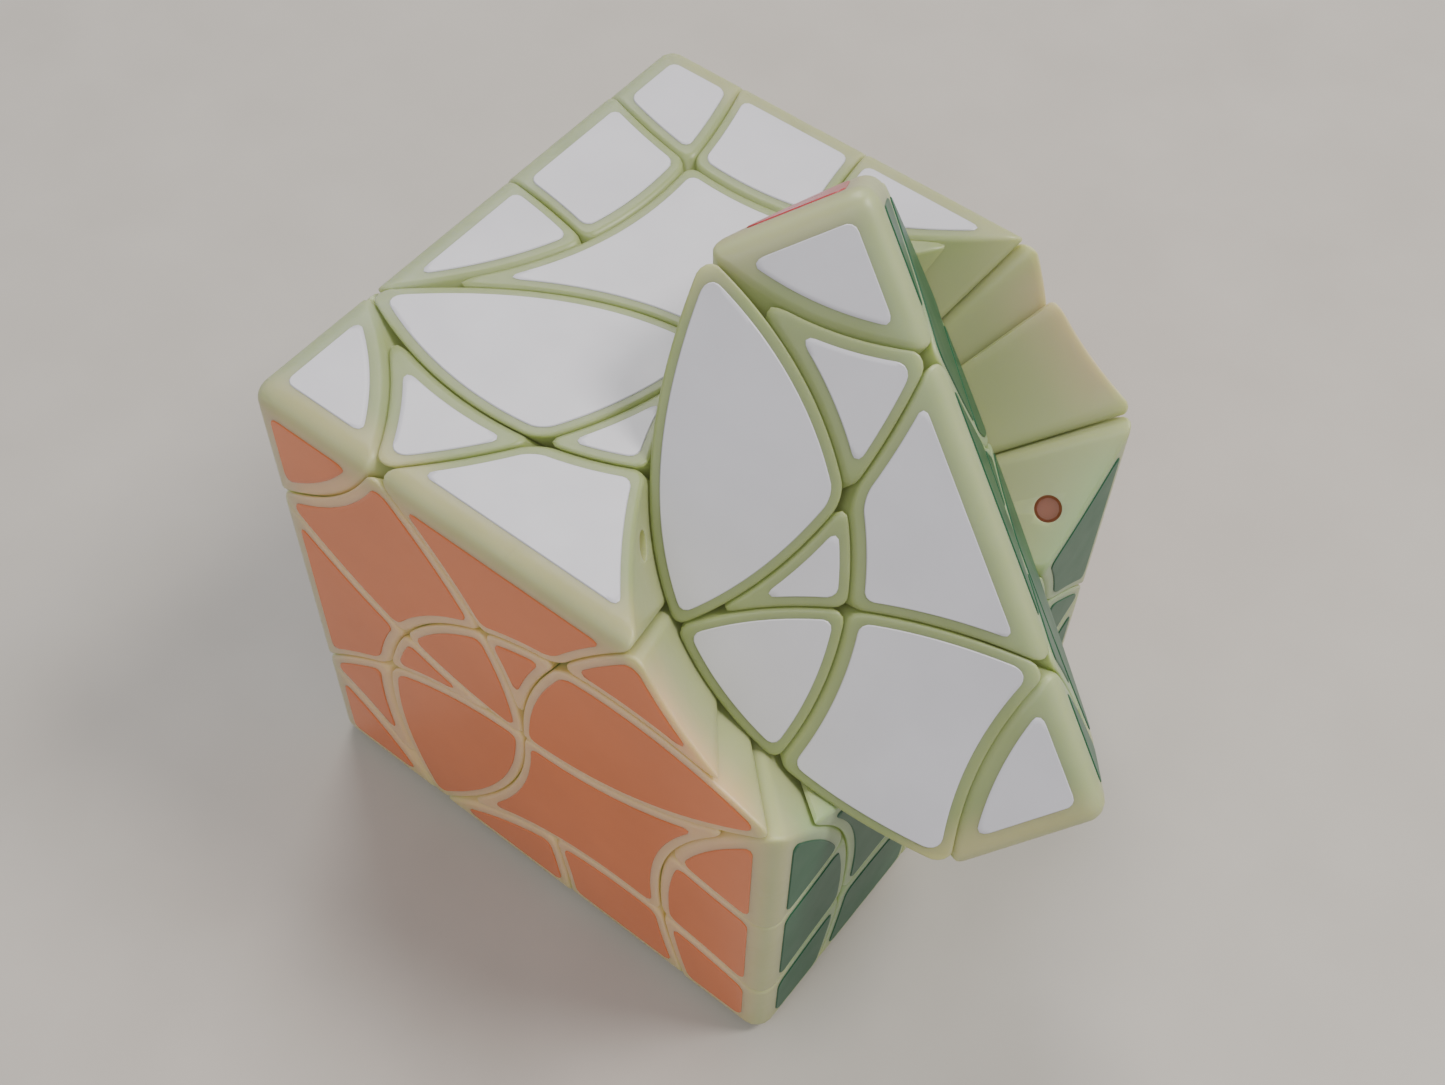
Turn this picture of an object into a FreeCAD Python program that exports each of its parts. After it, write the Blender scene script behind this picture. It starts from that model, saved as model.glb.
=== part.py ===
"""A cube-shaped twisty puzzle: six-coloured cube cut by twelve conical layers, one layer part-turned.

Every cut is a cone with its tip at the centre of the cube, so a piece is named by the cones that it is inside.
The twelve layer axes are a cuboctahedron set, turned about the body diagonal POLE: six lie on a ring around
POLE and three lean towards each of its two ends. Further cones split the larger pieces.
Origin: centre of the bottom face, +Z up, +X towards the green face, -Y towards the orange face.
"""
import FreeCAD, Part
import math
import os

from FreeCAD import Matrix, Placement, Rotation, Vector

doc = FreeCAD.newDocument("TwistyCube")

# ---- driving dimensions, in millimetres and degrees -------------------------------------------------
SIZES = {
    "edge_length": 60.0,          # plastic cube, face to face
    "edge_round": 2.0,            # radius along the cube's twelve edges
    "half_gap": 0.12,             # each piece stands back this far from every cut
    "cut_angle": 45.0,            # half-angle of every outer cut
    "neck_angle": 40.0,           # half-angle in the neck, so that feet hook under flanges
    "cone_length": 70.0,          # long enough to leave the cube at its corners
    "foot_start": 11.3,           # inner radius of every foot
    "foot_end": 14.0,             # where feet stop and necks start
    "neck_end": 16.2,             # where necks stop and the visible blocks start
    "turned_angle": 75.4,         # the turned layer rests part way round
    "sticker_thick": 0.2,
    "sticker_margin": 1.0,        # plastic border between a sticker and a cut
    "sticker_edge": 2.5,          # plastic border between a sticker and an edge of the cube
    "smallest_sticker": 1.2,      # cubic millimetres; anything less is left bare plastic
    "core_radius": 11.0,
    "core_wall": 3.0,
    "screw_radius": 1.2,
    "screw_clearance": 0.05,
    "screw_tip": 20.0,            # distance from the centre to the tip of a screw
    "head_radius": 2.3,
    "head_thick": 1.4,
    "drilled_extra": 0.4,         # screw holes run this much past the screw's tip
    "dimple_radius": 1.4,         # blind hole in the side walls of each ring centre
    "dimple_depth": 3.0,
    "dimple_reach": 34.2,         # from the cube's centre to the middle of a dimple's mouth
}
sheet = doc.addObject("Spreadsheet::Sheet", "Sizes")
for row, (alias, value) in enumerate(SIZES.items(), start=1):
    sheet.set("A%d" % row, alias)
    sheet.set("B%d" % row, str(value))
    sheet.setAlias("B%d" % row, alias)
doc.recompute()


def size(alias):
    """A driving dimension as a plain number."""
    return float(sheet.get(alias))


def bind(thing, **expressions):
    """Bind an object's sizes to the sheet: words in an expression are the sheet's aliases."""
    for prop, text in expressions.items():
        words = text.split(" ")
        linked = ["Sizes." + word if word in SIZES else word for word in words]
        thing.setExpression(prop, " ".join(linked))
    return thing


HALF = size("edge_length") / 2
LIFT = Vector(0, 0, HALF + size("sticker_thick"))   # the puzzle stands on its bottom stickers

# ---- axes -------------------------------------------------------------------------------------------
POLE = (-1, 1, 1)
RING = {"a1": (1, 0, 1), "a2": (1, 1, 0), "a3": (0, 1, -1),
        "a4": (-1, 0, -1), "a5": (-1, -1, 0), "a6": (0, -1, 1)}
LEANING = {"u1": (-1, 1, 4), "u2": (-4, 1, 1), "u3": (-1, 4, 1),
           "m1": (1, -1, -4), "m2": (4, -1, -1), "m3": (1, -4, -1)}
LAYERS = dict(RING, **LEANING)
SPLITS = {"w12": (0, 1, 1), "w61": (1, -1, 0), "v12": (-7, -8, 7)}
AXES = dict(LAYERS, **SPLITS)

# name: (layers and splits the piece is inside, splits it is outside)
TYPES = {
    "star": (("u1",), ()),
    "ring_centre": (("a1",), ("w12", "w61")),
    "ring_triangle": (("a1", "w12"), ()),
    "pole_quad": (("u1", "u2"), ("v12",)),
    "pole_triangle": (("u1", "u2", "v12"), ()),
    "petal": (("u1", "a1", "w12"), ()),
    "small_triangle": (("u1", "a1"), ("w12",)),
    "cube_corner": (("a1", "a6", "w61"), ()),
    "ring_petal": (("a1", "a6"), ("w61",)),
    "ring_corner": (("u1", "a1", "a6"), ()),
    "pole_corner": (("u1", "u2", "u3"), ()),
}
CENTRES = ("star", "ring_centre")                     # the two kinds that are screwed to the core
DIMPLED = {"ring_centre": ("a2", "a6")}               # walls that carry a dimple, named by their cut
BODIES = {"a1": "turned", "a4": "lower", "u3": "back", "m3": "front"}   # layers that turn on their own
COLOURS = {(0, 0, 1): "white", (0, 0, -1): "yellow", (0, -1, 0): "orange",
           (0, 1, 0): "red", (1, 0, 0): "green", (-1, 0, 0): "blue"}


def unit(axis):
    return Vector(*axis).normalize()


def degrees_between(axis, other):
    return math.degrees(unit(axis).getAngle(unit(other)))


def excluded(inside):
    """Layers that reach into a piece's cones but that the piece is outside."""
    names = []
    for name, axis in LAYERS.items():
        near = all(degrees_between(axis, AXES[member]) < 89 for member in inside)
        if name not in inside and near:
            names.append(name)
    return names


# ---- cutting cones ----------------------------------------------------------------------------------
cones = {}


def cone(name, grow, setback, angle):
    """A cone about an axis, its surface moved by setback: grow -1 pulls it in, +1 pushes it out."""
    key = (name, grow, setback, angle)
    if key not in cones:
        tool = doc.addObject("Part::Cone", "cone_%s_%s_%d" % (name, angle, len(cones)))
        bind(tool, Height="cone_length", Radius2="cone_length * tan( " + angle + " * 1 deg )")
        tool.Radius1 = 0
        slide = -grow * setback / math.sin(math.radians(size(angle)))
        axis = unit(AXES[name])
        tool.Placement = Placement(axis * slide, Rotation(Vector(0, 0, 1), axis))
        cones[key] = tool
    return cones[key]


def carve(label, blank, inside, outside, setback, angle):
    """What is left of a blank inside some cones and outside others."""
    result = doc.addObject("Part::MultiCommon", label + "_inside")
    result.Shapes = [blank] + [cone(name, -1, setback, angle) for name in inside]
    for name in outside:
        cut = doc.addObject("Part::Cut", "%s_less_%s" % (label, name))
        cut.Base = result
        cut.Tool = cone(name, 1, setback, angle)
        result = cut
    return result


def ball(label, radius):
    """A ball at the centre of the puzzle; radius is an expression of the sheet's aliases."""
    return bind(doc.addObject("Part::Sphere", label), Radius=radius)


def shell(label, inner, outer):
    """The space between two balls."""
    hollow = doc.addObject("Part::Cut", label)
    hollow.Base = ball(label + "_outer", outer)
    hollow.Tool = ball(label + "_inner", inner)
    return hollow


def dimple(block_shape, kind, own_axis, name):
    """A block with a round blind hole, square to its wall along one cut."""
    cut_axis = unit(AXES[name])
    outward = (own_axis - cut_axis * own_axis.dot(cut_axis)).normalize()
    mouth = (cut_axis + outward) * (size("dimple_reach") * math.sqrt(0.5))
    inward = (outward - cut_axis).normalize()
    drill = bind(doc.addObject("Part::Cylinder", "%s_dimple_%s" % (kind, name)),
                 Radius="dimple_radius", Height="2 * dimple_depth")
    drill.Placement = Placement(mouth - inward * size("dimple_depth"), Rotation(Vector(0, 0, 1), inward))
    dimpled = doc.addObject("Part::Cut", "%s_dimpled_%s" % (kind, name))
    dimpled.Base = block_shape
    dimpled.Tool = drill
    return dimpled


# ---- blanks -----------------------------------------------------------------------------------------
cube = bind(doc.addObject("Part::Box", "sharp_cube"),
            Length="edge_length", Width="edge_length", Height="edge_length")
cube.Placement.Base = Vector(-HALF, -HALF, -HALF)
rounded = doc.addObject("Part::Fillet", "rounded_cube")
rounded.Base = cube
rounded.Edges = [(number, size("edge_round"), size("edge_round")) for number in range(1, 13)]
block = doc.addObject("Part::Cut", "block_blank")
block.Base = rounded
block.Tool = ball("block_hollow", "neck_end + half_gap")
foot = shell("foot_blank", "foot_start", "foot_end - half_gap")
flange = shell("flange_blank", "foot_end + half_gap", "neck_end - half_gap")
neck = shell("neck_blank", "foot_end - 4 * half_gap", "neck_end + 4 * half_gap")

plates = []
for normal, colour in COLOURS.items():
    plate = bind(doc.addObject("Part::Box", colour + "_plate"), Height="sticker_thick",
                 Length="edge_length - 2 * sticker_edge", Width="edge_length - 2 * sticker_edge")
    turn = Rotation(Vector(0, 0, 1), Vector(*normal))
    reach = HALF - size("sticker_edge")
    plate.Placement = Placement(turn.multVec(Vector(-reach, -reach, HALF)), turn)
    plates.append(plate)
plating = doc.addObject("Part::Compound", "sticker_blank")
plating.Links = plates

# ---- one master of each kind of piece, and its stickers ---------------------------------------------
masters = {}
sticker_masters = {}
for kind, (inside, beyond) in TYPES.items():
    outside = excluded(inside) + list(beyond)
    gap = size("half_gap")
    parts = [carve(kind + "_block", block, inside, outside, gap, "cut_angle"),
             carve(kind + "_foot", foot, inside, outside, gap, "cut_angle"),
             carve(kind + "_flange", flange, inside, outside, gap, "neck_angle")]
    wide = carve(kind + "_wide", neck, inside, outside, gap, "cut_angle")
    link = carve(kind + "_link", wide, inside, outside, gap, "neck_angle")
    whole = doc.addObject("Part::MultiFuse", kind + "_whole")
    whole.Shapes = parts + [link]
    if kind in CENTRES:
        hole = bind(doc.addObject("Part::Cylinder", kind + "_screw_hole"),
                    Radius="screw_radius + screw_clearance", Height="screw_tip + drilled_extra")
        hole.Placement.Rotation = Rotation(Vector(0, 0, 1), unit(AXES[inside[0]]))
        drilled = doc.addObject("Part::Cut", kind + "_drilled")
        drilled.Base = whole
        drilled.Tool = hole
        whole = drilled
    for name in DIMPLED.get(kind, ()):
        whole = dimple(whole, kind, unit(AXES[inside[0]]), name)
    masters[kind] = whole
    sticker_masters[kind] = carve(kind + "_sticker", plating, inside, outside,
                                  gap + size("sticker_margin"), "cut_angle")
doc.recompute()


# ---- symmetry ---------------------------------------------------------------------------------------
def symmetries():
    """The twelve motions that map the set of cuts to itself: axis swaps that keep POLE, and inversion."""
    orders = [(0, 1, 2), (1, 2, 0), (2, 0, 1), (1, 0, 2), (0, 2, 1), (2, 1, 0)]
    for order in orders:
        for sign in (1, -1):
            grid = [[0, 0, 0], [0, 0, 0], [0, 0, 0]]
            for target, source in enumerate(order):
                grid[target][source] = sign * POLE[target] * POLE[source]
            yield grid


def moved(grid, axis):
    return tuple(sum(grid[i][j] * axis[j] for j in range(3)) for i in range(3))


def handed(grid):
    """+1 for a rotation, -1 for a motion that mirrors."""
    rows = [Vector(*line) for line in grid]
    return round(rows[0].cross(rows[1]).dot(rows[2]))


def transform(shape, grid):
    """A copy of a shape carried by one of the symmetries."""
    copy = shape.copy()
    first = 1
    if handed(grid) < 0:
        copy = copy.mirror(Vector(0, 0, 0), Vector(1, 0, 0))
        first = -1
    rows = [[line[0] * first, line[1], line[2]] for line in grid]
    matrix = Matrix(*(rows[0] + [0] + rows[1] + [0] + rows[2] + [0, 0, 0, 0, 1]))
    copy.Placement = Placement(matrix).multiply(copy.Placement)
    return copy


def layer_of(inside):
    """The body that a piece turns with, from the layers that it is inside."""
    for layer, body in BODIES.items():
        if AXES[layer] in inside:
            return body
    return "fixed"


turn_layer = Placement(Vector(0, 0, 0), Rotation(unit(AXES["a1"]), size("turned_angle")))
raise_all = Placement(LIFT, Rotation())

groups = {}
for kind, (inside, beyond) in TYPES.items():
    seen = set()
    for grid in symmetries():
        members = frozenset(moved(grid, AXES[name]) for name in inside)
        marks = (members, frozenset(moved(grid, AXES[name]) for name in beyond))
        if marks in seen:
            continue
        seen.add(marks)
        body = layer_of(members)
        place = raise_all.multiply(turn_layer) if body == "turned" else raise_all
        solid = transform(masters[kind].Shape, grid)
        solid.Placement = place.multiply(solid.Placement)
        groups.setdefault("%s_%s" % (body, kind), []).extend(solid.Solids)
        for sheet_piece in transform(sticker_masters[kind].Shape, grid).Solids:
            if sheet_piece.Volume < size("smallest_sticker"):
                continue
            middle = sheet_piece.CenterOfMass
            ways = [(middle.dot(Vector(*normal)), colour) for normal, colour in COLOURS.items()]
            colour = max(ways)[1]
            sheet_piece.Placement = place.multiply(sheet_piece.Placement)
            groups.setdefault("%s_%s_stickers" % (body, colour), []).append(sheet_piece)

# ---- core and screws --------------------------------------------------------------------------------
core_shell = shell("core_shell", "core_radius - core_wall", "core_radius")
holes = []
screws = []
for name, axis in LAYERS.items():
    along = Rotation(Vector(0, 0, 1), unit(axis))
    hole = bind(doc.addObject("Part::Cylinder", "core_hole_" + name),
                Radius="screw_radius + screw_clearance", Height="core_radius + drilled_extra")
    hole.Placement.Rotation = along
    holes.append(hole)
    seat = size("core_radius") - size("core_wall")
    head = bind(doc.addObject("Part::Cylinder", "screw_head_" + name),
                Radius="head_radius", Height="head_thick")
    head.Placement = Placement(unit(axis) * (seat - 2 * size("head_thick")), along)
    shank = bind(doc.addObject("Part::Cylinder", "screw_shank_" + name),
                 Radius="screw_radius", Height="screw_tip - core_radius + core_wall + 2 * head_thick")
    shank.Placement = Placement(unit(axis) * (seat - 2 * size("head_thick")), along)
    screw = doc.addObject("Part::Fuse", "screw_" + name)
    screw.Base = head
    screw.Tool = shank
    screws.append(screw)
drill = doc.addObject("Part::MultiFuse", "core_drill")
drill.Shapes = holes
drilled_core = doc.addObject("Part::Cut", "drilled_core")
drilled_core.Base = core_shell
drilled_core.Tool = drill
doc.recompute()

half_box = Part.makeBox(4 * HALF, 4 * HALF, 2 * HALF, Vector(-2 * HALF, -2 * HALF, 0))
upper = drilled_core.Shape.common(half_box)
lower = drilled_core.Shape.cut(half_box)
for label, shape in (("core_upper_half", upper), ("core_lower_half", lower)):
    shape.Placement = raise_all.multiply(shape.Placement)
    groups[label] = shape.Solids
groups["axle_screws"] = []
for screw in screws:
    solid = screw.Shape.copy()
    solid.Placement = raise_all.multiply(solid.Placement)
    groups["axle_screws"] += solid.Solids

# ---- sub-parts --------------------------------------------------------------------------------------
nodes = []
for label, solids in groups.items():
    node = doc.addObject("Part::Feature", label)
    node.Label = label
    node.Shape = solids[0] if len(solids) == 1 else Part.makeCompound(solids)
    nodes.append(node)
doc.recompute()

for thing in doc.Objects:
    if "Invalid" in thing.State or "Error" in thing.State:
        raise RuntimeError("%s did not recompute: %s" % (thing.Name, thing.State))
for node in nodes:
    if node.Shape.isNull() or not node.Shape.isValid():
        raise RuntimeError("%s has no valid shape" % node.Label)

os.makedirs("parts", exist_ok=True)
for node in nodes:
    node.Shape.exportStep("parts/%s.step" % node.Label)
    print(node.Label, len(node.Shape.Solids), round(node.Shape.Volume, 2))
print(len(nodes), "nodes")
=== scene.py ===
"""Looks of the cube-shaped twisty puzzle: moulded blocks with rounded rims, vinyl stickers, studio.

Every cut of the puzzle is a cone with its tip at the cube's centre, so a block is a patch of directions.
Each block is meshed as rings around the middle of its patch: over the cube's surface, round the rim and
down the conical walls. The puzzle has twelve symmetries, so each kind of block is meshed once and copied.
"""
import math

import bpy
import numpy as np
from mathutils import Matrix, Vector


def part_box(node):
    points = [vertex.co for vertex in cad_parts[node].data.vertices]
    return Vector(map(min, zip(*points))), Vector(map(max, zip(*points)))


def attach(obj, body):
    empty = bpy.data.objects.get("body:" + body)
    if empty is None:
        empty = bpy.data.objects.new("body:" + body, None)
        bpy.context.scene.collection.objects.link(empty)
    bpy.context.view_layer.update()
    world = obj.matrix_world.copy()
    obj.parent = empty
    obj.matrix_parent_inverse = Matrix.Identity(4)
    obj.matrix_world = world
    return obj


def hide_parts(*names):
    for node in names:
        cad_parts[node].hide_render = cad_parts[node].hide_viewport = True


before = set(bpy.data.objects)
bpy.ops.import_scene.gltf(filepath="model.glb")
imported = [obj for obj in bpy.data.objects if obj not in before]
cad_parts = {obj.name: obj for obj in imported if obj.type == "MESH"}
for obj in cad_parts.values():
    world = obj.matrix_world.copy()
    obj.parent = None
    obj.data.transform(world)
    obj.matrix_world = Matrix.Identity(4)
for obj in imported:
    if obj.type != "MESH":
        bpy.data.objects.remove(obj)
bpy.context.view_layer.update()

# ---- sizes, in metres; the first three are taken from the frame, the rest are given -----------------
corner_low, corner_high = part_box("fixed_cube_corner")
HALF = (corner_high.x - corner_low.x) / 2             # half the plastic cube's edge
top_low, top_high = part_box("fixed_white_stickers")
STICKER = top_high.z - top_low.z                      # sticker thickness
LIFT = top_high.z - STICKER - HALF                    # height of the cube's centre
MM = 0.001
GAP = 0.07 * MM                                       # setback of every block from a cut
EDGE_ROUND = 2.0 * MM                                 # radius along the cube's edges
RIM = 0.36 * MM                                       # radius of a block's rim
OUTLINE_ROUND = 1.3 * MM                              # corners of a block's outline
INNER = 15.0 * MM                                     # walls run down to this radius
STICKER_MARGIN = 0.95 * MM                            # border between a sticker and a cut
STICKER_EDGE = 2.5 * MM                               # border between a sticker and an edge of the cube
STICKER_ROUND = 0.9 * MM                              # corners of a sticker
VINYL_THICK = 0.12 * MM                               # what shows of the sticker's thickness
STICKER_LIP = 0.08 * MM                               # rounding of a sticker's top rim
SMALLEST_REACH = 0.55 * MM                            # a narrower patch has no sticker
TURNED = math.radians(75.4)                           # the turned layer's angle
GRAIN = 0.55 * MM                                     # spacing of mesh rings and spokes
DEEPEST_SEAT = 0.0035                                 # share of its distance that a block may sit inwards
DIMPLE_RADIUS = 1.4 * MM                              # blind hole in the side walls of each ring centre
DIMPLE_DEPTH = 3.0 * MM
DIMPLE_REACH = 34.2 * MM                              # from the cube's centre to a dimple's mouth
DIMPLE_SIDES = 48
MOUTH_DEPTH = 0.4 * MM                                # a dimple's walls are tinted from here down

HALVINGS = 26                                         # bisection steps for a reach
SEARCH_WAYS = 60000                                   # directions tried for the middle of a block
SEARCH_STEPS = 91                                     # coarse steps out to an outline
COARSE_SPOKES = 480                                   # spokes that measure an outline before it is respaced
RIM_BENDS = 6                                         # rings round a rim
SMOOTH_ANGLE = math.radians(38)                       # sharper edges than this are shaded sharp

# ---- the puzzle's cuts ------------------------------------------------------------------------------
POLE = (-1, 1, 1)
LAYERS = {"a1": (1, 0, 1), "a2": (1, 1, 0), "a3": (0, 1, -1), "a4": (-1, 0, -1), "a5": (-1, -1, 0),
          "a6": (0, -1, 1), "u1": (-1, 1, 4), "u2": (-4, 1, 1), "u3": (-1, 4, 1), "m1": (1, -1, -4),
          "m2": (4, -1, -1), "m3": (1, -4, -1)}
AXES = dict(LAYERS, w12=(0, 1, 1), w61=(1, -1, 0), v12=(-7, -8, 7))
TYPES = {                                             # name: (cones it is inside, splits it is outside)
    "star": (("u1",), ()),
    "ring_centre": (("a1",), ("w12", "w61")),
    "ring_triangle": (("a1", "w12"), ()),
    "pole_quad": (("u1", "u2"), ("v12",)),
    "pole_triangle": (("u1", "u2", "v12"), ()),
    "petal": (("u1", "a1", "w12"), ()),
    "small_triangle": (("u1", "a1"), ("w12",)),
    "cube_corner": (("a1", "a6", "w61"), ()),
    "ring_petal": (("a1", "a6"), ("w61",)),
    "ring_corner": (("u1", "a1", "a6"), ()),
    "pole_corner": (("u1", "u2", "u3"), ()),
}
BODIES = {"a1": "turned", "a4": "lower", "u3": "back", "m3": "front"}
FACES = {"white": (0, 0, 1), "yellow": (0, 0, -1), "orange": (0, -1, 0),
         "red": (0, 1, 0), "green": (1, 0, 0), "blue": (-1, 0, 0)}


def unit(vector):
    """The vector at length one."""
    vector = np.asarray(vector, float)
    return vector / np.linalg.norm(vector)


def cuts_of(kind):
    """The cuts around a kind of block, as rows of (unit axis, +1 inside or -1 outside)."""
    inside, beyond = TYPES[kind]
    outside = list(beyond)
    for name, axis in LAYERS.items():
        near = all(unit(axis) @ unit(AXES[member]) > math.cos(math.radians(89)) for member in inside)
        if name not in inside and near:
            outside.append(name)
    signed = [(name, 1) for name in inside] + [(name, -1) for name in outside]
    return np.array([np.append(unit(AXES[name]), sign) for name, sign in signed])


def cut_distances(points, cuts):
    """Distance of each point from each 45-degree cone, positive on the block's side."""
    along = points @ cuts[:, :3].T
    across = np.sqrt(np.maximum((points ** 2).sum(-1)[..., None] - along ** 2, 0))
    return (along - across) * math.sqrt(0.5) * cuts[:, 3]


def rounded_least(distances, radius):
    """The least distance, with corners rounded."""
    short = np.maximum(radius - distances, 0)
    rounded = radius[..., 0] - np.sqrt((short ** 2).sum(-1))
    return np.where(distances.min(-1) >= radius[..., 0], distances.min(-1), rounded)


def cube_reach(ways, drop):
    """How far along each direction the rounded cube's surface lies, drop below its skin."""
    low = np.full(ways.shape[:-1], 0.5 * HALF)
    high = np.full(ways.shape[:-1], 2.0 * HALF)
    core = HALF - EDGE_ROUND
    for _ in range(HALVINGS):
        middle = (low + high) / 2
        beyond = np.maximum(np.abs(ways) * middle[..., None] - core, 0)
        nearest = (np.abs(ways) * middle[..., None] - core).max(-1)
        skin = np.sqrt((beyond ** 2).sum(-1)) + np.minimum(nearest, 0) - EDGE_ROUND
        outside = skin > -drop
        high = np.where(outside, middle, high)
        low = np.where(outside, low, middle)
    return (low + high) / 2


def frame_about(axis):
    """Two directions that are square to an axis and to each other."""
    helper = np.array([1.0, 0, 0]) if abs(axis[0]) < 0.6 else np.array([0, 1.0, 0])
    first = unit(np.cross(axis, helper))
    return first, np.cross(axis, first)


def first_crossing(value, limit, goal):
    """For each spoke, the first distance out at which value, a height at a distance, drops to goal."""
    steps = np.linspace(0, 1, SEARCH_STEPS) * limit
    heights = np.stack([value(step) for step in steps])
    below = heights < goal
    index = np.maximum(np.argmax(below, 0), 1)
    index = np.where(below.any(0), index, len(steps) - 1)
    low = steps[index - 1]
    high = steps[index]
    for _ in range(20):
        middle = (low + high) / 2
        inside = value(middle) >= goal
        low = np.where(inside, middle, low)
        high = np.where(inside, high, middle)
    return (low + high) / 2


def even_spokes(outline, angles, spacing):
    """Angles at which spokes meet an outline at even spacing along it."""
    closed = np.vstack([outline, outline[:1]])
    lengths = np.linalg.norm(np.diff(closed, axis=0), axis=1)
    walked = np.concatenate([[0], np.cumsum(lengths)])
    count = max(24, int(round(walked[-1] / spacing)))
    turns = np.append(angles, angles[0] + 2 * math.pi)
    return np.interp(np.arange(count) * walked[-1] / count, walked, turns)


def ring_faces(count, rings, first, last):
    """Quads between successive rings of count points, closed by fans onto points first and last."""
    here = np.arange(count)
    after = (here + 1) % count
    faces = [(int(first), int(a), int(b)) for a, b in zip(here, after)]
    for ring in range(rings - 1):
        inner = ring * count
        outer = inner + count
        faces += [(int(inner + a), int(outer + a), int(outer + b), int(inner + b))
                  for a, b in zip(here, after)]
    base = (rings - 1) * count
    faces += [(int(base + a), int(last), int(base + b)) for a, b in zip(here, after)]
    return faces


# ---- one master mesh of each kind of block ----------------------------------------------------------
def block_master(kind):
    """Points, faces and depth below the rim of one kind of block, about the cube's centre."""
    cuts = cuts_of(kind)

    def room(points):
        span = np.linalg.norm(points, axis=-1, keepdims=True) / (1.2 * HALF)
        return rounded_least(cut_distances(points, cuts), OUTLINE_ROUND * span)

    golden = math.pi * (3 - math.sqrt(5))
    order = np.arange(SEARCH_WAYS)
    height = 1 - 2 * (order + 0.5) / len(order)
    level = np.sqrt(1 - height ** 2)
    ways = np.stack([level * np.cos(golden * order), level * np.sin(golden * order), height], 1)
    scores = room(ways * HALF)
    middle = ways[scores.argmax()]
    side, up = frame_about(middle)

    def direction(angle, spread):
        spoke = np.cos(angle)[:, None] * side + np.sin(angle)[:, None] * up
        return np.cos(spread)[:, None] * middle + np.sin(spread)[:, None] * spoke

    def outline(angles, reach, inset):
        """Spread of each spoke where the block ends, on the surface that reach describes."""
        def value(spread):
            way = direction(angles, np.broadcast_to(spread, angles.shape))
            return room(way * reach(way)[:, None])
        return first_crossing(value, 1.2, GAP + inset)

    def skin(drop):
        return lambda way: cube_reach(way, drop)

    def wall(share):
        return lambda way: cube_reach(way, RIM) * (1 - share) + INNER * share

    coarse = np.linspace(0, 2 * math.pi, COARSE_SPOKES, endpoint=False)
    edge = outline(coarse, skin(RIM), 0)
    way = direction(coarse, edge)
    angles = even_spokes(way * cube_reach(way, RIM)[:, None], coarse, GRAIN)

    rings = []
    # depth runs from 0 on the top, round the rim, to 1 down the walls; the plastic's painted shade and
    # painted glow follow it
    depths = []
    rim_start = outline(angles, skin(0), RIM)
    rows = max(3, int(math.ceil(rim_start.max() * 1.25 * HALF / (1.3 * GRAIN))))
    for row in range(1, rows):
        way = direction(angles, rim_start * row / rows)
        rings.append(way * cube_reach(way, 0)[:, None])
        depths.append(0.0)
    for bend in np.linspace(0, math.pi / 2, RIM_BENDS):
        reach = skin(RIM * (1 - math.cos(bend)))
        way = direction(angles, outline(angles, reach, RIM * (1 - math.sin(bend))))
        rings.append(way * reach(way)[:, None])
        depths.append(0.35 * bend / (math.pi / 2))
    for share in (0.04, 0.1, 0.2, 0.35, 0.55, 0.8, 1.0):
        reach = wall(share)
        spread = outline(angles, reach, 0)
        way = direction(angles, spread)
        rings.append(way * reach(way)[:, None])
        depths.append(min(1.0, 0.5 + 3 * share))
    for share in (0.6, 0.25):
        rings.append(direction(angles, spread * share) * INNER)
        depths.append(1.0)
    count = len(angles)
    points = np.vstack(rings + [middle * cube_reach(middle[None], 0)[0], middle * INNER])
    depth = np.concatenate([np.repeat(depths, count), [0.0, 1.0]])
    return points, ring_faces(count, len(rings), len(points) - 2, len(points) - 1), depth


def sticker_masters(kind):
    """One thin plate for each face of the cube that a kind of block reaches."""
    cuts = cuts_of(kind)
    plates = []
    for colour, normal in FACES.items():
        normal = np.array(normal, float)
        side, up = frame_about(normal)

        def room(across, along):
            points = normal * HALF + across[..., None] * side + along[..., None] * up
            border = np.stack([HALF - np.abs(across), HALF - np.abs(along)], -1)
            border = border - STICKER_EDGE + GAP + STICKER_MARGIN
            distances = np.concatenate([cut_distances(points, cuts), border], -1)
            radius = GAP + STICKER_MARGIN + STICKER_ROUND
            return rounded_least(distances, np.full(across.shape + (1,), radius))

        lines = np.linspace(-HALF, HALF, 241)
        grid_u, grid_v = np.meshgrid(lines, lines)
        scores = room(grid_u, grid_v)
        best = np.unravel_index(scores.argmax(), scores.shape)
        if scores[best] < GAP + STICKER_MARGIN + SMALLEST_REACH:
            continue
        centre_u, centre_v = grid_u[best], grid_v[best]

        def outline(angles, inset):
            def value(spread):
                return room(centre_u + spread * np.cos(angles), centre_v + spread * np.sin(angles))
            return first_crossing(value, 2 * HALF, GAP + STICKER_MARGIN + inset)

        def placed(angles, spread, height):
            across = centre_u + spread * np.cos(angles)
            along = centre_v + spread * np.sin(angles)
            return normal * (HALF + height) + across[:, None] * side + along[:, None] * up

        coarse = np.linspace(0, 2 * math.pi, COARSE_SPOKES, endpoint=False)
        angles = even_spokes(placed(coarse, outline(coarse, 0), 0), coarse, 0.8 * GRAIN)
        edge = outline(angles, 0)
        lip = outline(angles, STICKER_LIP)
        inner = outline(angles, 4 * STICKER_LIP)
        rings = [placed(angles, inner * 0.5, VINYL_THICK), placed(angles, inner, VINYL_THICK),
                 placed(angles, lip, VINYL_THICK), placed(angles, edge, VINYL_THICK - STICKER_LIP),
                 placed(angles, edge, 0)]
        middle = normal * HALF + centre_u * side + centre_v * up
        points = np.vstack(rings + [middle + normal * VINYL_THICK, middle])
        plates.append((normal, points, ring_faces(len(angles), len(rings), len(points) - 2, len(points) - 1)))
    return plates


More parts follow.
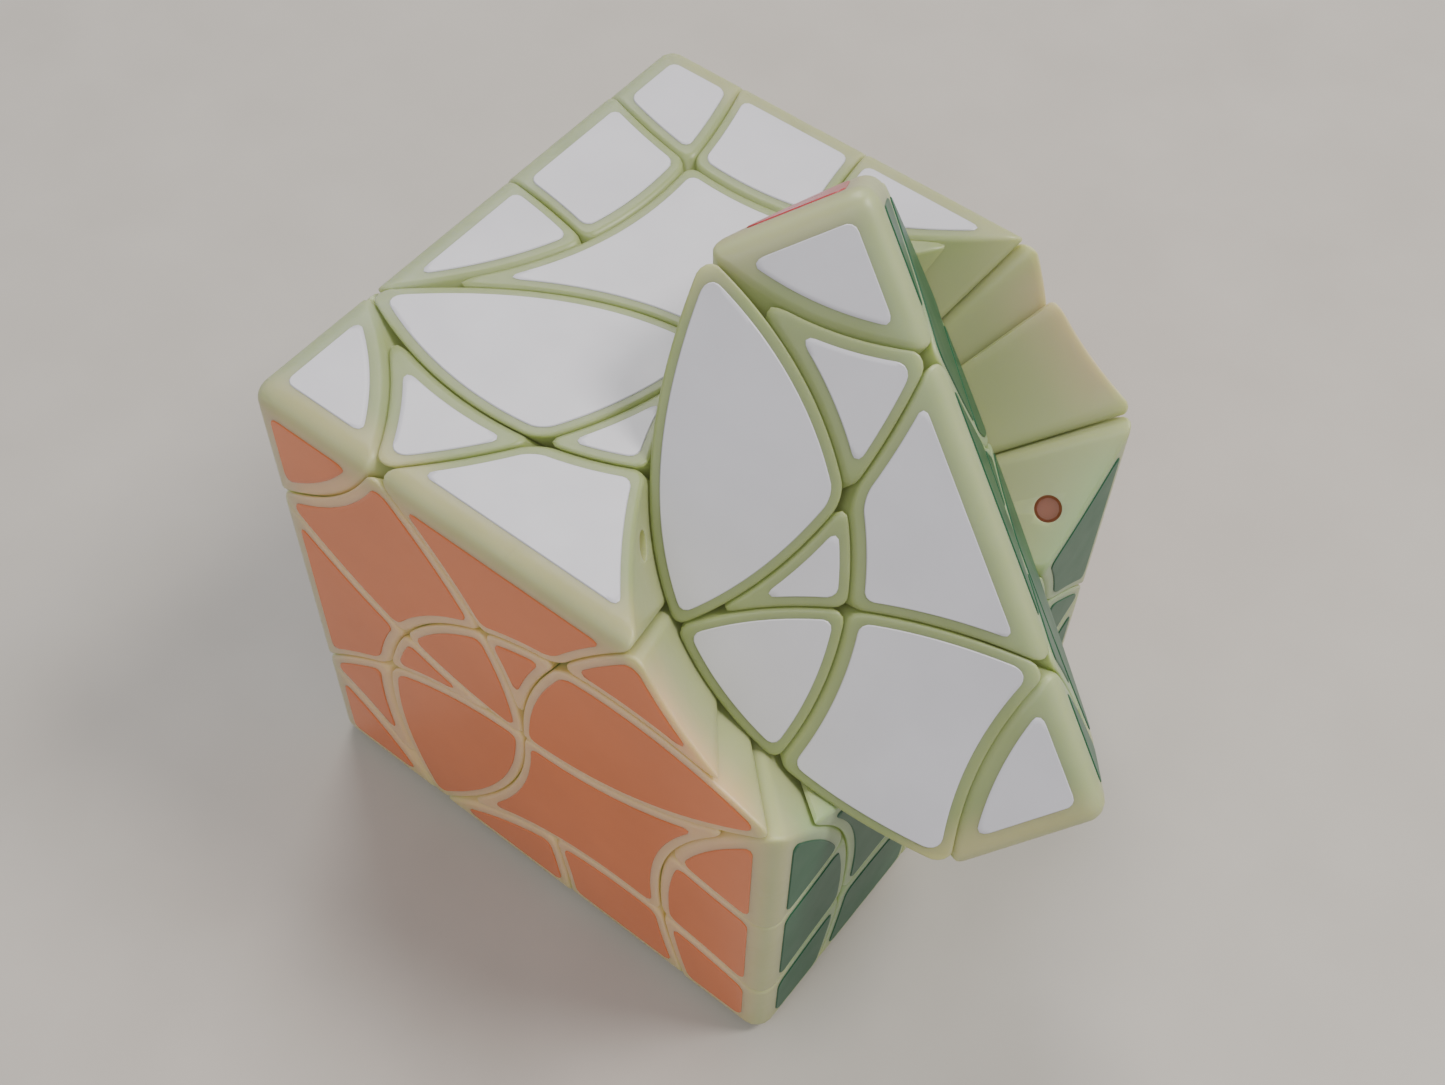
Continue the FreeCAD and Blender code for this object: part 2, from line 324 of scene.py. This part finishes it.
# ---- dimples ----------------------------------------------------------------------------------------
def link(name, points, faces):
    """A new mesh object in the scene."""
    mesh = bpy.data.meshes.new(name)
    mesh.from_pydata([tuple(point) for point in points], [], faces)
    thing = bpy.data.objects.new(name, mesh)
    bpy.context.scene.collection.objects.link(thing)
    return thing


def dimple_line(own, cut):
    """Mouth and inward direction of the dimple in the wall that the cone about cut makes."""
    own, cut = unit(own), unit(cut)
    outward = unit(own - cut * (own @ cut))
    return (cut + outward) * DIMPLE_REACH * math.sqrt(0.5), (outward - cut) * math.sqrt(0.5)


def drilled(points, faces, depth, own, cuts):
    """A block with a round blind hole in its wall along each of cuts; depth is above 1 inside a hole."""
    block = link("drilled_block", points, faces)
    block.data.attributes.new("depth", "FLOAT", "POINT").data.foreach_set("value", depth)
    drills = []
    for cut in cuts:
        mouth, inward = dimple_line(own, cut)
        side, up = frame_about(inward)
        angles = np.linspace(0, 2 * math.pi, DIMPLE_SIDES, endpoint=False)
        circle = (np.cos(angles)[:, None] * side + np.sin(angles)[:, None] * up) * DIMPLE_RADIUS
        rings = [mouth + inward * DIMPLE_DEPTH + circle * 0.8, mouth + inward * DIMPLE_DEPTH * 0.86 + circle,
                 mouth - inward * DIMPLE_DEPTH + circle]
        ends = [mouth + inward * DIMPLE_DEPTH, mouth - inward * DIMPLE_DEPTH]
        last = 3 * DIMPLE_SIDES
        drill = link("drill", np.vstack(rings + ends), ring_faces(DIMPLE_SIDES, 3, last, last + 1))
        modifier = block.modifiers.new("dimple", "BOOLEAN")
        modifier.object = drill
        modifier.solver = "EXACT"
        drills.append(drill)
    bpy.context.view_layer.update()
    cut_block = block.evaluated_get(bpy.context.evaluated_depsgraph_get())
    mesh = bpy.data.meshes.new_from_object(cut_block)
    new_points = np.array([vertex.co for vertex in mesh.vertices], float)
    new_faces = [tuple(polygon.vertices) for polygon in mesh.polygons]
    new_depth = np.zeros(len(new_points))
    mesh.attributes["depth"].data.foreach_get("value", new_depth)
    for cut in cuts:
        mouth, inward = dimple_line(own, cut)
        offset = new_points - mouth
        along = offset @ inward
        across = np.linalg.norm(offset - along[:, None] * inward, axis=1)
        inside = (across < DIMPLE_RADIUS * 1.02) & (along > MOUTH_DEPTH) & (along < DIMPLE_DEPTH * 1.05)
        new_depth = np.where(inside, 2.0, new_depth)
    for thing in [block] + drills:
        bpy.data.objects.remove(thing)
    return new_points, new_faces, new_depth


# ---- symmetry ---------------------------------------------------------------------------------------
def symmetries():
    """The twelve motions that keep the set of cuts: swaps of the axes that keep POLE, and inversion."""
    for order in ((0, 1, 2), (1, 2, 0), (2, 0, 1), (1, 0, 2), (0, 2, 1), (2, 1, 0)):
        for sign in (1, -1):
            grid = np.zeros((3, 3))
            for target, source in enumerate(order):
                grid[target, source] = sign * POLE[target] * POLE[source]
            yield grid


def whole(vector):
    """A vector as whole numbers, so that it can be compared."""
    return tuple(int(round(value)) for value in vector)


TINT_SHARE = 0.6                                      # most that a sticker's colour shows in the plastic
HOLE_TINT = (0.62, 0.17, 0.11, 0.95)                   # red stickers shine through behind the dimples
turn = np.array(Matrix.Rotation(TURNED, 3, Vector(AXES["a1"])))
# painted sticker light: the colour that each sticker's light gives the plastic near it
STICKER_TINTS = {"white": (0.16, 0.21, 0.06), "yellow": (0.66, 0.56, 0.10), "orange": (0.92, 0.45, 0.26),
                 "red": (0.50, 0.27, 0.23), "green": (0.20, 0.34, 0.18), "blue": (0.18, 0.26, 0.42)}


def tint(points, depth):
    """Painted colour of the light that the nearest stickers send into the translucent plastic, and how
    strongly, at each point.
    """
    weights = []
    for colour, normal in FACES.items():
        near = np.clip((points @ np.array(normal, float) / HALF - 0.80) / 0.2, 0, 1)
        weights.append(near ** 2)
    weights = np.array(weights)
    total = weights.sum(0)
    ranked = np.sort(weights, axis=0)
    # an edge of the cube, near two faces at once, keeps the plastic's own colour
    share = np.clip(ranked[-1] - 0.75 * ranked[-2], 0, 1) * TINT_SHARE
    tints = np.array([STICKER_TINTS[colour] for colour in FACES])
    mixed = (weights.T @ tints) / np.maximum(total, 1e-6)[:, None]
    colours = np.column_stack([mixed, share])
    return np.where((depth > 1.5)[:, None], np.array(HOLE_TINT), colours)


class Heap:
    """Points, faces and colours gathered for one mesh."""

    def __init__(self):
        self.points, self.faces, self.depth, self.tint = [], [], [], []
        self.size = 0

    def add(self, points, faces, depth, colours, mirrored):
        """Adds one piece; a mirrored one has its faces turned round."""
        shift = self.size
        ordered = [tuple(reversed(face)) for face in faces] if mirrored else faces
        self.faces += [tuple(index + shift for index in face) for face in ordered]
        self.points.append(points)
        self.depth.append(depth)
        self.tint.append(colours)
        self.size += len(points)

    def build(self, name):
        """One mesh object of everything in the heap."""
        mesh = bpy.data.meshes.new(name)
        mesh.from_pydata(np.vstack(self.points).tolist(), [], self.faces)
        mesh.attributes.new("depth", "FLOAT", "POINT").data.foreach_set("value", np.concatenate(self.depth))
        colours = mesh.attributes.new("tint", "FLOAT_COLOR", "POINT")
        colours.data.foreach_set("color", np.vstack(self.tint).ravel())
        mesh.shade_smooth()
        mesh.set_sharp_from_angle(angle=SMOOTH_ANGLE)
        thing = bpy.data.objects.new(name, mesh)
        bpy.context.scene.collection.objects.link(thing)
        return thing


seating = np.random.default_rng(7)                    # each block sits a hair deeper or shallower
blocks = {}
stickers = {}
for kind, (inside, beyond) in TYPES.items():
    points, faces, depth = block_master(kind)
    if kind == "ring_centre":
        points, faces, depth = drilled(points, faces, depth, AXES["a1"], [AXES["a2"], AXES["a6"]])
    plates = sticker_masters(kind)
    seen = set()
    for grid in symmetries():
        members = frozenset(whole(grid @ np.array(AXES[name])) for name in inside)
        marks = (members, frozenset(whole(grid @ np.array(AXES[name])) for name in beyond))
        if marks in seen:
            continue
        seen.add(marks)
        body = next((word for layer, word in BODIES.items() if AXES[layer] in members), "fixed")
        place = turn if body == "turned" else np.eye(3)
        mirrored = np.linalg.det(grid) < 0
        seat = 1 - seating.uniform(0, DEEPEST_SEAT)
        local = points @ grid.T
        heap = blocks.setdefault("%s_%s" % (body, kind), Heap())
        heap.add(local @ place.T * seat + [0, 0, LIFT], faces, depth, tint(local, depth), mirrored)
        for normal, plate, plate_faces in plates:
            way = whole(grid @ normal)
            colour = next(word for word, face in FACES.items() if face == way)
            heap = stickers.setdefault("%s_%s_stickers" % (body, colour), Heap())
            spot = (plate @ grid.T) @ place.T * seat + [0, 0, LIFT]
            heap.add(spot, plate_faces, np.zeros(len(plate)), np.zeros((len(plate), 4)), mirrored)


# ---- materials --------------------------------------------------------------------------------------
def new_material(name):
    material = bpy.data.materials.new(name)
    material.use_nodes = True
    nodes = material.node_tree.nodes
    return material, nodes, material.node_tree.links, nodes["Principled BSDF"]


def noise(nodes, links, scale, detail=3.0):
    """Noise in the object's own coordinates, in metres."""
    place = nodes.new("ShaderNodeTexCoord")
    texture = nodes.new("ShaderNodeTexNoise")
    texture.inputs["Scale"].default_value = scale
    texture.inputs["Detail"].default_value = detail
    links.new(place.outputs["Object"], texture.inputs["Vector"])
    return texture.outputs["Fac"]


def ramp(nodes, links, factor, stops):
    """A colour ramp; stops are (position, colour)."""
    band = nodes.new("ShaderNodeValToRGB")
    while len(band.color_ramp.elements) < len(stops):
        band.color_ramp.elements.new(0.5)
    for element, (position, colour) in zip(band.color_ramp.elements, stops):
        element.position = position
        element.color = (*colour, 1)
    links.new(factor, band.inputs["Fac"])
    return band.outputs["Color"]


def mix(nodes, links, factor, first, second):
    """A mix of two colours, each a socket or a tuple."""
    node = nodes.new("ShaderNodeMix")
    node.data_type = "RGBA"
    for socket, value in ((node.inputs["Factor"], factor), (node.inputs[6], first), (node.inputs[7], second)):
        if isinstance(value, bpy.types.NodeSocket):
            links.new(value, socket)
        elif isinstance(value, tuple):
            socket.default_value = (*value, 1)
        else:
            socket.default_value = value
    return node.outputs[2]


def bump(nodes, links, shader, height, strength, distance):
    node = nodes.new("ShaderNodeBump")
    node.inputs["Strength"].default_value = strength
    node.inputs["Distance"].default_value = distance
    links.new(height, node.inputs["Height"])
    links.new(node.outputs["Normal"], shader.inputs["Normal"])


def glow_plastic():
    """Milky yellow-green plastic, paler on top; painted shade makes it a deeper green down the rims and
    walls, a painted glow lights the crevices, and the nearby stickers' light is painted into it.
    """
    material, nodes, links, shader = new_material("glow_plastic")
    cloud = noise(nodes, links, 140, 2)
    pale = ramp(nodes, links, cloud, [(0.3, (0.39, 0.43, 0.22)), (0.7, (0.43, 0.465, 0.25))])
    depth = nodes.new("ShaderNodeAttribute")
    depth.attribute_name = "depth"
    tints = nodes.new("ShaderNodeAttribute")
    tints.attribute_name = "tint"
    # painted shade: the plastic turns a darker, deeper green as depth rises down the rims and walls
    painted_wall_shade = mix(nodes, links, depth.outputs["Fac"], pale, (0.37, 0.40, 0.19))
    # painted sticker light: near a sticker the plastic takes on that sticker's colour
    lent = mix(nodes, links, tints.outputs["Alpha"], painted_wall_shade, tints.outputs["Color"])
    links.new(lent, shader.inputs["Base Color"])
    # painted glow: the walls give off green light, brightest at depth 0.6 where the gaps between blocks show,
    # in place of light coming through the plastic
    painted_glow = [(0.0, (0, 0, 0)), (0.6, (0.42, 0.50, 0.14)), (1.0, (0.16, 0.18, 0.07))]
    lit = ramp(nodes, links, depth.outputs["Fac"], painted_glow)
    links.new(lit, shader.inputs["Emission Color"])
    shader.inputs["Emission Strength"].default_value = 0.12
    shader.inputs["Subsurface Weight"].default_value = 0.60
    shader.inputs["Subsurface Radius"].default_value = (1.0, 1.1, 0.45)
    shader.inputs["Subsurface Scale"].default_value = 3.0 * MM
    shader.inputs["IOR"].default_value = 1.5
    rough = nodes.new("ShaderNodeMapRange")
    rough.inputs["To Min"].default_value = 0.34
    rough.inputs["To Max"].default_value = 0.46
    links.new(noise(nodes, links, 900), rough.inputs["Value"])
    links.new(rough.outputs["Result"], shader.inputs["Roughness"])
    bump(nodes, links, shader, noise(nodes, links, 2500, 2), 0.06, 0.05 * MM)
    return material


def vinyl(name, colour, rough_low, rough_high, shine=0.45):
    """Sticker vinyl: faint mottling, fine orange peel, small scuffs and a few specks of dust."""
    material, nodes, links, shader = new_material(name)
    darker = tuple(value * 0.93 for value in colour)
    base = ramp(nodes, links, noise(nodes, links, 90, 4), [(0.35, darker), (0.65, colour)])
    specks = ramp(nodes, links, noise(nodes, links, 1500, 1), [(0.86, (0, 0, 0)), (0.89, (1, 1, 1))])
    dusty = mix(nodes, links, specks, base, tuple(value * 0.45 for value in colour))
    links.new(dusty, shader.inputs["Base Color"])
    rough = nodes.new("ShaderNodeMapRange")
    rough.inputs["To Min"].default_value = rough_low
    rough.inputs["To Max"].default_value = rough_high
    links.new(noise(nodes, links, 260, 5), rough.inputs["Value"])
    links.new(rough.outputs["Result"], shader.inputs["Roughness"])
    shader.inputs["Specular IOR Level"].default_value = shine
    bump(nodes, links, shader, noise(nodes, links, 700, 3), 0.08, 0.04 * MM)
    return material


def core_plastic():
    """Dark plastic of the hidden core."""
    material, nodes, links, shader = new_material("core_plastic")
    shades = [(0.3, (0.02, 0.02, 0.022)), (0.7, (0.035, 0.035, 0.04))]
    links.new(ramp(nodes, links, noise(nodes, links, 300), shades), shader.inputs["Base Color"])
    shader.inputs["Roughness"].default_value = 0.5
    bump(nodes, links, shader, noise(nodes, links, 2500), 0.1, 0.05 * MM)
    return material


def screw_steel():
    """Plain steel of the hidden screws."""
    material, nodes, links, shader = new_material("screw_steel")
    shades = [(0.3, (0.5, 0.5, 0.5)), (0.7, (0.62, 0.61, 0.6))]
    links.new(ramp(nodes, links, noise(nodes, links, 500), shades), shader.inputs["Base Color"])
    shader.inputs["Metallic"].default_value = 1.0
    shader.inputs["Roughness"].default_value = 0.35
    bump(nodes, links, shader, noise(nodes, links, 3000), 0.1, 0.03 * MM)
    return material


plastic = glow_plastic()
VINYLS = {
    "white": vinyl("white_vinyl", (0.575, 0.56, 0.595), 0.30, 0.42),
    "yellow": vinyl("yellow_vinyl", (0.75, 0.55, 0.05), 0.24, 0.36),
    "orange": vinyl("orange_vinyl", (0.69, 0.18, 0.058), 0.16, 0.27),
    "red": vinyl("red_vinyl", (0.42, 0.035, 0.045), 0.22, 0.34),
    "green": vinyl("green_vinyl", (0.016, 0.095, 0.045), 0.30, 0.42, 0.2),
    "blue": vinyl("blue_vinyl", (0.025, 0.08, 0.33), 0.22, 0.34),
}

BODY_NAMES = {"fixed": "core_and_fixed", "turned": "turned_layer", "lower": "lower_layer",
              "back": "back_layer", "front": "front_layer"}
for node, heap in blocks.items():
    piece = heap.build(node + "_moulded")
    piece.data.materials.append(plastic)
    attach(piece, BODY_NAMES[node.split("_")[0]])
    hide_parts(node)
for node, heap in stickers.items():
    body, colour = node.split("_")[:2]
    piece = heap.build(node + "_cut")
    piece.data.materials.append(VINYLS[colour])
    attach(piece, BODY_NAMES[body])
    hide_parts(node)

for node in ("core_upper_half", "core_lower_half"):
    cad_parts[node].data.materials.clear()
    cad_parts[node].data.materials.append(core_plastic())
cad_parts["axle_screws"].data.materials.clear()
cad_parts["axle_screws"].data.materials.append(screw_steel())


# ---- studio -----------------------------------------------------------------------------------------
CAMERA_ANGLES = (36.30, 54.59, 1.94)                  # degrees from -Y towards +X, up, and rolled
CAMERA_DISTANCE = 6.470 * HALF
CAMERA_RIGHT = 0.0279 * HALF                          # the camera stands this far beside and below its axis
CAMERA_DOWN = 0.0123 * HALF
CAMERA_LENS = 46.7
LIGHT_AIM = (0, 0, 0.03)


def floor():
    """A plain pale floor, much wider than the puzzle."""
    mesh = bpy.data.meshes.new("floor")
    reach = 2.0
    mesh.from_pydata([(-reach, -reach, 0), (reach, -reach, 0), (reach, reach, 0), (-reach, reach, 0)], [],
                     [(0, 1, 2, 3)])
    thing = bpy.data.objects.new("floor", mesh)
    bpy.context.scene.collection.objects.link(thing)
    material, nodes, links, shader = new_material("pale_floor")
    shades = [(0.3, (0.45, 0.415, 0.37)), (0.7, (0.48, 0.445, 0.40))]
    links.new(ramp(nodes, links, noise(nodes, links, 60, 5), shades), shader.inputs["Base Color"])
    shader.inputs["Roughness"].default_value = 0.6
    mesh.materials.append(material)


def area_light(name, place, size, power, colour):
    """A soft round light, aimed at the puzzle."""
    light = bpy.data.lights.new(name, "AREA")
    light.shape = "DISK"
    light.size = size
    light.energy = power
    light.color = colour
    thing = bpy.data.objects.new(name, light)
    thing.location = place
    thing.rotation_euler = (Vector(LIGHT_AIM) - Vector(place)).to_track_quat("-Z", "Y").to_euler()
    bpy.context.scene.collection.objects.link(thing)


def camera():
    """The camera looks at the cube's centre, a little aside."""
    turned, raised, rolled = (math.radians(angle) for angle in CAMERA_ANGLES)
    level = math.cos(raised)
    back = Vector((math.sin(turned) * level, -math.cos(turned) * level, math.sin(raised)))
    flat = Vector((0, 0, 1)).cross(back).normalized()
    upright = back.cross(flat)
    right = flat * math.cos(rolled) + upright * math.sin(rolled)
    above = upright * math.cos(rolled) - flat * math.sin(rolled)
    place = back * CAMERA_DISTANCE + right * CAMERA_RIGHT - above * CAMERA_DOWN
    turn_to = Matrix((right, above, back)).transposed().to_4x4()
    lens = bpy.data.cameras.new("camera")
    lens.sensor_width = 36
    lens.lens = CAMERA_LENS
    thing = bpy.data.objects.new("camera", lens)
    thing.matrix_world = Matrix.Translation(place + Vector((0, 0, LIFT))) @ turn_to
    bpy.context.scene.collection.objects.link(thing)
    bpy.context.scene.camera = thing


floor()
camera()
world = bpy.data.worlds.new("studio")
world.use_nodes = True
world.node_tree.nodes["Background"].inputs["Color"].default_value = (0.80, 0.82, 0.86, 1)
world.node_tree.nodes["Background"].inputs["Strength"].default_value = 0.55
bpy.context.scene.world = world
area_light("key", (0.38, 0.30, 0.75), 0.30, 5.7, (1.0, 0.97, 0.93))
area_light("second", (-0.34, 0.36, 0.75), 0.34, 3.1, (1.0, 0.98, 0.96))
area_light("front", (0.15, -0.45, 0.60), 0.50, 1.8, (0.96, 0.98, 1.0))
